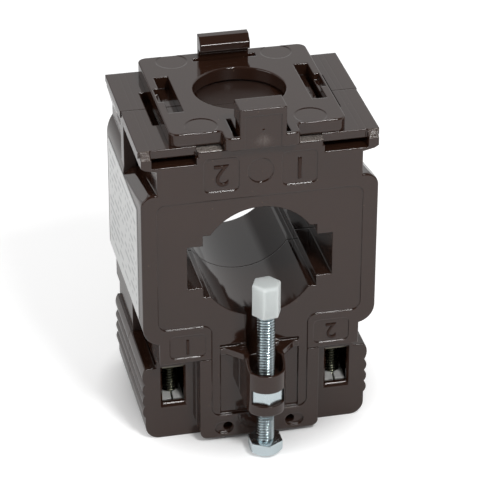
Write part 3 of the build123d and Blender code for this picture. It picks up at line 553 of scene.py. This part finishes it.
for name, piece in nodes.items():
    dress(piece, FINISHES[name])
print("dressed", len(nodes), "nodes")

# %% [markdown]
# The clamp screw and the terminal screws are M4, with a pitch of 0.7 mm. The solids have plain
# shafts. A bump in the material could fake a thread, but not its saw-toothed outline, so the
# thread is made as a mesh. Geometry Nodes take a fine cylinder and pull each point in or out by
# a rule: along a right-hand helix the height divided by the pitch, less the angle divided by a
# full turn, is a whole number on every crest. A cone cuts the tip.

# %% A thread as a node tree
THREAD_RADIUS = 2.0
THREAD_PITCH = 0.7
THREAD_DEPTH = 0.43
THREAD_FLAT = 0.12
RINGS_PER_PITCH = 12
THREAD_SEGMENTS = 40
THREAD_INPUTS = {
    "Float": ("Length", "Radius", "Depth", "Pitch", "Chamfer"),
    "Int": ("Rings", "Segments"),
    "Vector": ("Base",),
    "Material": ("Material",),
}


def thread_tree():
    """Geometry Nodes group: a cylinder from its base upwards, displaced into a helix."""
    tree = bpy.data.node_groups.new("screw_thread", "GeometryNodeTree")
    tree.interface.new_socket("Geometry", in_out="OUTPUT", socket_type="NodeSocketGeometry")
    for kind, names in THREAD_INPUTS.items():
        for name in names:
            tree.interface.new_socket(name, in_out="INPUT", socket_type="NodeSocket" + kind)
    given = add(tree, "NodeGroupInput").outputs
    rod = add(tree, "GeometryNodeMeshCylinder", {"Vertices": given["Segments"], "Radius": 1.0,
                                                 "Side Segments": given["Rings"],
                                                 "Depth": given["Length"]})
    spot = add(tree, "GeometryNodeInputPosition").outputs[0]
    x, y, z = add(tree, "ShaderNodeSeparateXYZ", {0: spot}).outputs
    height = formula(tree, ("ADD", z, ("MULTIPLY", given["Length"], 0.5)))
    angle = ("ARCTAN2", y, x)
    turns = ("SUBTRACT", ("DIVIDE", height, given["Pitch"]), ("DIVIDE", angle, 2 * math.pi))
    zigzag = formula(tree, ("PINGPONG", ("MULTIPLY", turns, 2.0), 1.0))
    flank = add(tree, "ShaderNodeMapRange", {"Value": zigzag, "From Min": THREAD_FLAT,
                                             "From Max": 1 - THREAD_FLAT, "To Min": 0.0, "To Max": 1.0})
    helix = ("SUBTRACT", given["Radius"], ("MULTIPLY", flank.outputs[0], given["Depth"]))
    to_tip = ("SUBTRACT", given["Length"], height)
    cone = ("ADD", ("SUBTRACT", given["Radius"], given["Chamfer"]), to_tip)
    radius = formula(tree, ("MINIMUM", helix, cone))
    spot_moved = add(tree, "ShaderNodeCombineXYZ", {0: formula(tree, ("MULTIPLY", x, radius)),
                                                    1: formula(tree, ("MULTIPLY", y, radius)),
                                                    2: height})
    moved = add(tree, "GeometryNodeSetPosition", {"Geometry": rod.outputs["Mesh"],
                                                  "Position": spot_moved.outputs[0]})
    placed = add(tree, "GeometryNodeTransform", {"Geometry": moved.outputs[0],
                                                 "Translation": given["Base"]})
    real = add(tree, "GeometryNodeRealizeInstances", {0: placed.outputs[0]})
    coated = add(tree, "GeometryNodeSetMaterial", {"Geometry": real.outputs[0],
                                                   "Material": given["Material"]})
    add(tree, "NodeGroupOutput", {0: coated.outputs[0]})
    return tree


def grow(tree, name, **values):
    """Run a node tree with the given inputs and return its result as a plain mesh object."""
    carrier = bpy.data.objects.new(name, bpy.data.meshes.new(name))
    scene.collection.objects.link(carrier)
    modifier = carrier.modifiers.new("rule", "NODES")
    modifier.node_group = tree
    for item in tree.interface.items_tree:
        if item.in_out == "INPUT" and item.name in values:
            modifier[item.identifier] = values[item.name]
    evaluated = carrier.evaluated_get(bpy.context.evaluated_depsgraph_get())
    mesh = bpy.data.meshes.new_from_object(evaluated)
    carrier.modifiers.remove(modifier)
    carrier.data = mesh
    return carrier


screw_thread = thread_tree()
print("thread tree inputs:", [i.name for i in screw_thread.interface.items_tree if i.in_out == "INPUT"])

# %% [markdown]
# The screw heads and the cap are copies of the CAD nodes' faces, merged and cleaned, with their
# edges beaded by a real bevel, since neither plating nor a mould leaves a knife-sharp edge. The
# hole where the shaft is cut off a head gets a new face, so that each head is closed.

# %% A beaded copy of a node
BEAD_SEGMENTS = 2
BEAD_ANGLE = 25


def beaded_copy(node, name, top_z, bevel_mm):
    """Copy of the faces of a CAD node that lie at or below a height, with bevelled edges."""
    work = bmesh.new()
    work.from_mesh(nodes[node].data)
    bmesh.ops.remove_doubles(work, verts=work.verts, dist=0.001 * MM)
    above_top = [f for f in work.faces if max(v.co.z for v in f.verts) > top_z + 0.01 * MM]
    bmesh.ops.delete(work, geom=above_top, context="FACES")
    open_edges = [e for e in work.edges if e.is_boundary]
    bmesh.ops.holes_fill(work, edges=open_edges, sides=0)
    bmesh.ops.dissolve_limit(work, angle_limit=math.radians(1.0), verts=work.verts, edges=work.edges)
    mesh = bpy.data.meshes.new(name)
    work.to_mesh(mesh)
    work.free()
    piece = bpy.data.objects.new(name, mesh)
    scene.collection.objects.link(piece)
    bevel = piece.modifiers.new("bead", "BEVEL")
    bevel.width = bevel_mm * MM
    bevel.segments = BEAD_SEGMENTS
    bevel.limit_method = "ANGLE"
    bevel.angle_limit = math.radians(BEAD_ANGLE)
    evaluated = piece.evaluated_get(bpy.context.evaluated_depsgraph_get())
    solid = bpy.data.meshes.new_from_object(evaluated)
    piece.modifiers.remove(bevel)
    piece.data = solid
    return piece


print("clamp cap faces in the CAD:", len(nodes["clamp_cap"].data.polygons))

# %% [markdown]
# The cap is pushed over the tip of the clamp screw and stands as it was left, a little turned.
# The solid stands square, so the copy is turned about the axis of the screw.

# %% The nylon cap
CAP_ROUNDING = 0.22
CAP_TURN = -14


def moulded_cap(node, body, material):
    """The CAD cap turned a little on its screw, with rounded edges."""
    centre = Vector((*upright_axis(node), 0))
    cap = beaded_copy(node, node + "_moulded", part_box(node)[1].z, CAP_ROUNDING)
    turn = Matrix.Rotation(math.radians(CAP_TURN), 4, "Z")
    cap.data.transform(Matrix.Translation(centre) @ turn @ Matrix.Translation(-centre))
    cap.data.shade_smooth()
    dress(cap, material)
    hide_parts(node)
    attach(cap, body)
    return cap


clamp_cap = moulded_cap("clamp_cap", "clamp_cap", white_nylon)
print("cap faces:", len(clamp_cap.data.polygons))

# %% [markdown]
# A screw is one piece of metal, so the threaded rod and the head become one mesh. The rod
# starts a little inside the head, so that no gap shows between them.

# %% Screws with real threads
HEAD_BEVEL = 0.18
ROOT_SINK = 0.1
SMOOTH_ANGLE = 32
CLAMP_HEAD_H = 2.8
CLAMP_CHAMFER = 0.5
TERMINAL_HEAD_H = 2.2
TERMINAL_CHAMFER = 0.4


def join(name, parts):
    """One mesh object from several, each already in place."""
    work = bmesh.new()
    for part in parts:
        work.from_mesh(part.data)
        bpy.data.objects.remove(part)
    mesh = bpy.data.meshes.new(name)
    work.to_mesh(mesh)
    work.free()
    mesh.shade_smooth()
    mesh.set_sharp_from_angle(angle=math.radians(SMOOTH_ANGLE))
    piece = bpy.data.objects.new(name, mesh)
    scene.collection.objects.link(piece)
    return piece


def threaded_screw(node, body, material, head_h_mm, tip_chamfer_mm):
    """Replace a CAD screw by one with a cut thread above its head."""
    low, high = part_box(node)
    top_of_head = low.z + head_h_mm * MM
    base = top_of_head - ROOT_SINK * MM
    length = high.z - base
    rod = grow(screw_thread, node + "_rod", Length=length, Radius=THREAD_RADIUS * MM,
               Depth=THREAD_DEPTH * MM, Pitch=THREAD_PITCH * MM, Chamfer=tip_chamfer_mm * MM,
               Segments=THREAD_SEGMENTS, Rings=int(length / MM / THREAD_PITCH * RINGS_PER_PITCH),
               Base=(*upright_axis(node), base), Material=material)
    head = beaded_copy(node, node + "_head", top_of_head, HEAD_BEVEL)
    screw = join(node + "_threaded", [rod, head])
    dress(screw, material)
    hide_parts(node)
    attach(screw, body)
    return screw


clamp_screw = threaded_screw("clamp_screw", "clamp_screw", zinc_plate,
                             CLAMP_HEAD_H, CLAMP_CHAMFER)
for side in ("left", "right"):
    threaded_screw("terminal_screw_" + side, "terminal_screw_" + side, nickel_with_painted_shade,
                   TERMINAL_HEAD_H, TERMINAL_CHAMFER)
print("clamp screw faces:", len(clamp_screw.data.polygons))

# %% [markdown]
# Plain numerals stand raised in the marking boxes and tell a fitter one side from the other. A
# bump could draw them, but real ones catch the light on their sides. The object stands upside
# down, so they are turned by half a turn. Text is turned into a mesh first, and then moved into
# place, so that the object stays at the origin.

# %% Raised numerals
NUMERALS = {
    "numeral_top_left": ("2", -8.6, 22.4, 5.4),
    "numeral_top_right": ("1", 8.6, 22.4, 5.4),
    "numeral_low_left": ("1", -16.3, -19.8, 4.0),
    "numeral_low_right": ("2", 16.3, -19.8, 4.0),
}
FONT_SIZE_PER_HEIGHT = 1.35
NUMERAL_RISE = 0.22
NUMERAL_BEAD = 0.03
NUMERAL_SINK = 0.02
BOX_DEPTH = 0.25


def raised_numeral(name, text, x_mm, z_mm, height_mm):
    """Numeral that stands on the floor of its marking box."""
    curve = bpy.data.curves.new(name + "_curve", "FONT")
    curve.body = text
    curve.size = height_mm * MM * FONT_SIZE_PER_HEIGHT
    curve.align_x, curve.align_y = "CENTER", "CENTER"
    curve.extrude = NUMERAL_RISE / 2 * MM
    curve.bevel_depth = NUMERAL_BEAD * MM
    curve.resolution_u = 6
    text_object = bpy.data.objects.new(name + "_text", curve)
    scene.collection.objects.link(text_object)
    evaluated = text_object.evaluated_get(bpy.context.evaluated_depsgraph_get())
    mesh = bpy.data.meshes.new_from_object(evaluated)
    bpy.data.objects.remove(text_object)
    floor_y = SHELL_FACE + (BOX_DEPTH - NUMERAL_RISE / 2 + NUMERAL_SINK) * MM
    upright = Matrix.Rotation(math.radians(90), 4, "X")
    half_turn = Matrix.Rotation(math.radians(180), 4, "Y")
    mesh.transform(Matrix.Translation((x_mm * MM, floor_y, z_mm * MM)) @ half_turn @ upright)
    piece = bpy.data.objects.new(name, mesh)
    scene.collection.objects.link(piece)
    dress(piece, numeral_plastic)
    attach(piece, "housing")
    return piece


for name, (text, x_mm, z_mm, height_mm) in NUMERALS.items():
    raised_numeral(name, text, x_mm, z_mm, height_mm)
print("numerals:", list(NUMERALS))

# %% [markdown]
# A glossy dark object shows its surroundings, so the sky is built for what the object mirrors.
# It is white behind the object. The side where the camera stands and the ceiling are dark, which
# draws dark lines along the rounded edges and shades the flanks of the threads. A half-dark
# panel on the left gives the walls that face it a darker side. Each dark part starts where one
# axis of the direction passes the first number, and is full at the second.

# %% Sky
SKY_LIGHT = 0.52
SKY_MIRRORED = 0.78
DARK_MIRRORED = 0.06
PANEL_SHARE = 0.6
DARK_PARTS = {
    "front": ("Y", -0.2, -0.4),
    "ceiling": ("Z", 0.7, 0.85),
    "left": ("X", -0.22, -0.34),
    "over_floor": ("Z", 0.0, 0.08),
}


def white_sky():
    """World: even soft light, white to the camera, with dark parts for reflections alone."""
    world = bpy.data.worlds.new("studio_sky")
    world.use_nodes = True
    tree = world.node_tree
    tree.nodes.clear()
    path = add(tree, "ShaderNodeLightPath").outputs
    direction = add(tree, "ShaderNodeTexCoord").outputs["Generated"]
    way = add(tree, "ShaderNodeSeparateXYZ", {0: direction}).outputs
    dark = {}
    for part, (axis, start, full) in DARK_PARTS.items():
        edge = add(tree, "ShaderNodeMapRange", {"Value": way[axis], "From Min": start, "From Max": full})
        dark[part] = edge.outputs[0]
    panel = ("MULTIPLY", ("MULTIPLY", dark["left"], dark["over_floor"]), PANEL_SHARE)
    room = formula(tree, ("MAXIMUM", ("MAXIMUM", dark["front"], dark["ceiling"]), panel))
    mirrored = add(tree, "ShaderNodeMapRange", {"Value": room, "To Min": SKY_MIRRORED,
                                                "To Max": DARK_MIRRORED})
    shiny = add(tree, "ShaderNodeMix", {"Factor": path["Is Glossy Ray"], "A": SKY_LIGHT,
                                        "B": mirrored.outputs[0]})
    direct = formula(tree, ("MAXIMUM", path["Is Camera Ray"], path["Is Transmission Ray"]))
    strength = add(tree, "ShaderNodeMix", {"Factor": direct, "A": shiny.outputs["Result"], "B": 1.0})
    sky = add(tree, "ShaderNodeBackground", {"Color": linear("#FFFFFF"),
                                             "Strength": strength.outputs["Result"]})
    add(tree, "ShaderNodeOutputWorld", {"Surface": sky.outputs[0]})
    scene.world = world


white_sky()
scene.view_settings.view_transform = "Standard"
print("sky:", scene.world.name, "view:", scene.view_settings.view_transform)

# %% [markdown]
# The floor is white and keeps the soft shadow of the object. The camera sees it a little
# brighter than the object does, which turns it white and still leaves the shadow. That lift
# fades out under the object, where it would show through the openings. The floor is clear when
# seen from below.

# %% Floor
FLOOR_COLOUR = "#F4F4F4"
FLOOR_ROUGH = 0.8
FLOOR_HALF_M = 3.0
FLOOR_GAP = 0.02
FLOOR_LIFT = 0.42
FOOTPRINT = 22
FOOTPRINT_FADE = 12


def studio_floor():
    """White floor with its shadow, clear from below."""
    material, tree, shader, place = start_material("studio_floor", FLOOR_COLOUR, FLOOR_ROUGH)
    below = add(tree, "ShaderNodeNewGeometry").outputs["Backfacing"]
    clear = add(tree, "ShaderNodeBsdfTransparent")
    either = add(tree, "ShaderNodeMixShader", {0: below, 1: shader.outputs[0], 2: clear.outputs[0]})
    output = next(node for node in tree.nodes if node.type == "OUTPUT_MATERIAL")
    tree.links.new(either.outputs[0], output.inputs["Surface"])
    shader.inputs["Specular IOR Level"].default_value = 0.0
    shader.inputs["Emission Color"].default_value = linear("#FFFFFF")
    seen = add(tree, "ShaderNodeLightPath").outputs["Is Camera Ray"]
    away = add(tree, "ShaderNodeVectorMath", {0: place}, operation="LENGTH").outputs["Value"]
    outside = add(tree, "ShaderNodeMapRange", {"Value": away, "From Min": FOOTPRINT * MM,
                                               "From Max": (FOOTPRINT + FOOTPRINT_FADE) * MM})
    lift = formula(tree, ("MULTIPLY", seen, ("MULTIPLY", outside.outputs[0], FLOOR_LIFT)))
    tree.links.new(lift, shader.inputs["Emission Strength"])
    half = FLOOR_HALF_M
    corners = [(-half, -half, 0), (half, -half, 0), (half, half, 0), (-half, half, 0)]
    mesh = bpy.data.meshes.new("studio_floor")
    mesh.from_pydata(corners, [], [(0, 1, 2, 3)])
    floor = bpy.data.objects.new("studio_floor", mesh)
    floor.location.z = underside - FLOOR_GAP * MM
    scene.collection.objects.link(floor)
    dress(floor, material)
    return floor


floor = studio_floor()
print("floor at", round(floor.location.z / MM, 2), "mm")

# %% [markdown]
# One small strong lamp in front and above draws a thin white line beside the dark one on each
# rounded edge, and throws the shadow behind the object. A large soft lamp on the left lights
# the side with the label.

# %% Lamps
KEY_DIRECTION = (0.191, -0.635, 0.748)
KEY_DISTANCE = 500
KEY_SIZE = 95
KEY_WATTS = 1.25
SIDE_PLACE = (-560, -150, 300)
SIDE_SIZE = 420
SIDE_WATTS = 0.95


def soft_lamp(name, place_mm, size_mm, watts):
    """Square area lamp that faces the object."""
    data = bpy.data.lights.new(name, "AREA")
    data.size = size_mm * MM
    data.energy = watts
    lamp = bpy.data.objects.new(name, data)
    scene.collection.objects.link(lamp)
    lamp.location = Vector(place_mm) * MM
    lamp.rotation_euler = (-lamp.location).to_track_quat("-Z", "Y").to_euler()
    return lamp


key_lamp = soft_lamp("key_lamp", Vector(KEY_DIRECTION) * KEY_DISTANCE, KEY_SIZE, KEY_WATTS)
side_lamp = soft_lamp("side_lamp", SIDE_PLACE, SIDE_SIZE, SIDE_WATTS)
print("lamps:", key_lamp.name, side_lamp.name)
